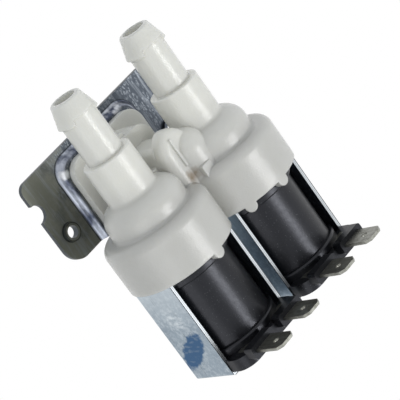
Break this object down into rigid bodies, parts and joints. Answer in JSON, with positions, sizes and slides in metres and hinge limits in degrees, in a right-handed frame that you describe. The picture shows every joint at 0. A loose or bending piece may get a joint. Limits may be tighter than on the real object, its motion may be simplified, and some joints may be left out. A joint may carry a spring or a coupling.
{
  "type": "washing machine inlet valve",
  "caption": "Solenoid water inlet valve with hose outlets, flat electric blades, a threaded inlet and a steel mounting bracket.",
  "frame": {"origin": "on the axis of the threaded inlet, in the rear face of the steel bracket, midway between its screw holes", "axes": "+Y out of the threaded inlet, +Z out of the hose outlets, +X along the row of outlets"},
  "size_m": [0.058, 0.0623, 0.0794],
  "materials": {
    "body_nylon": "satin off-white nylon moulding, slightly translucent",
    "bracket_steel": "galvanised sheet with a fine grey spangle",
    "yoke_steel": "bright zinc plated sheet with bare cut edges",
    "coil_moulding": "black moulding with a soft shine",
    "terminal_plating": "dull tin plated blade",
    "tube_nylon": "off-white moulding",
    "insert_plastic": "white moulding",
    "strainer_plastic": "off-white moulding",
    "regulator_plastic": "pale blue moulding",
    "bobbin_plastic": "dark glass-filled moulding",
    "copper_wire": "enamelled copper wire",
    "plunger_steel": "ground magnetic steel",
    "spring_steel": "bright spring steel",
    "dark_rubber": "black moulded rubber"
  },
  "bodies": {
    "valve": {"valve_body": "body_nylon", "bracket": "bracket_steel", "inlet_strainer": "strainer_plastic", "flow_regulator": "regulator_plastic", "flow_ring": "dark_rubber", "diaphragm_left": "dark_rubber", "guide_tube_left": "tube_nylon", "plunger_spring_left": "spring_steel", "yoke_left": "yoke_steel", "pole_plate_left": "yoke_steel", "upper_sleeve_left": "yoke_steel", "lower_sleeve_left": "yoke_steel", "bobbin_left": "bobbin_plastic", "winding_left": "copper_wire", "coil_housing_left": "coil_moulding", "push_nut_left": "spring_steel", "terminal_left_1": "terminal_plating", "terminal_left_2": "terminal_plating", "diaphragm_right": "dark_rubber", "guide_tube_right": "tube_nylon", "plunger_spring_right": "spring_steel", "yoke_right": "yoke_steel", "pole_plate_right": "yoke_steel", "upper_sleeve_right": "yoke_steel", "lower_sleeve_right": "yoke_steel", "bobbin_right": "bobbin_plastic", "winding_right": "copper_wire", "coil_housing_right": "coil_moulding", "push_nut_right": "spring_steel", "terminal_right_1": "terminal_plating", "terminal_right_2": "terminal_plating"},
    "plunger_unit_left": {"plunger_left": "plunger_steel", "plunger_seal_left": "dark_rubber"},
    "pilot_unit_left": {"pilot_insert_left": "insert_plastic"},
    "plunger_unit_right": {"plunger_right": "plunger_steel", "plunger_seal_right": "dark_rubber"},
    "pilot_unit_right": {"pilot_insert_right": "insert_plastic"}
  },
  "joints": [
    {"name": "plunger_slide_left", "type": "slide", "parent": "valve", "child": "plunger_unit_left", "axis": [0, 0, -1], "range_m": [0, 0.0028], "stiffness_N_per_m": 120, "springref_m": -0.004, "deforming": ["plunger_spring_left"]},
    {"name": "diaphragm_lift_left", "type": "slide", "parent": "valve", "child": "pilot_unit_left", "axis": [0, 0, -1], "range_m": [0, 0.0016], "stiffness_N_per_m": 60, "springref_m": -0.002, "deforming": ["diaphragm_left"]},
    {"name": "plunger_slide_right", "type": "slide", "parent": "valve", "child": "plunger_unit_right", "axis": [0, 0, -1], "range_m": [0, 0.0028], "stiffness_N_per_m": 120, "springref_m": -0.004, "deforming": ["plunger_spring_right"]},
    {"name": "diaphragm_lift_right", "type": "slide", "parent": "valve", "child": "pilot_unit_right", "axis": [0, 0, -1], "range_m": [0, 0.0016], "stiffness_N_per_m": 60, "springref_m": -0.002, "deforming": ["diaphragm_right"]}
  ],
  "couplings": [
    {"joint": "diaphragm_lift_left", "follows": "plunger_slide_left", "ratio": 0.55},
    {"joint": "diaphragm_lift_right", "follows": "plunger_slide_right", "ratio": 0.55}
  ]
}
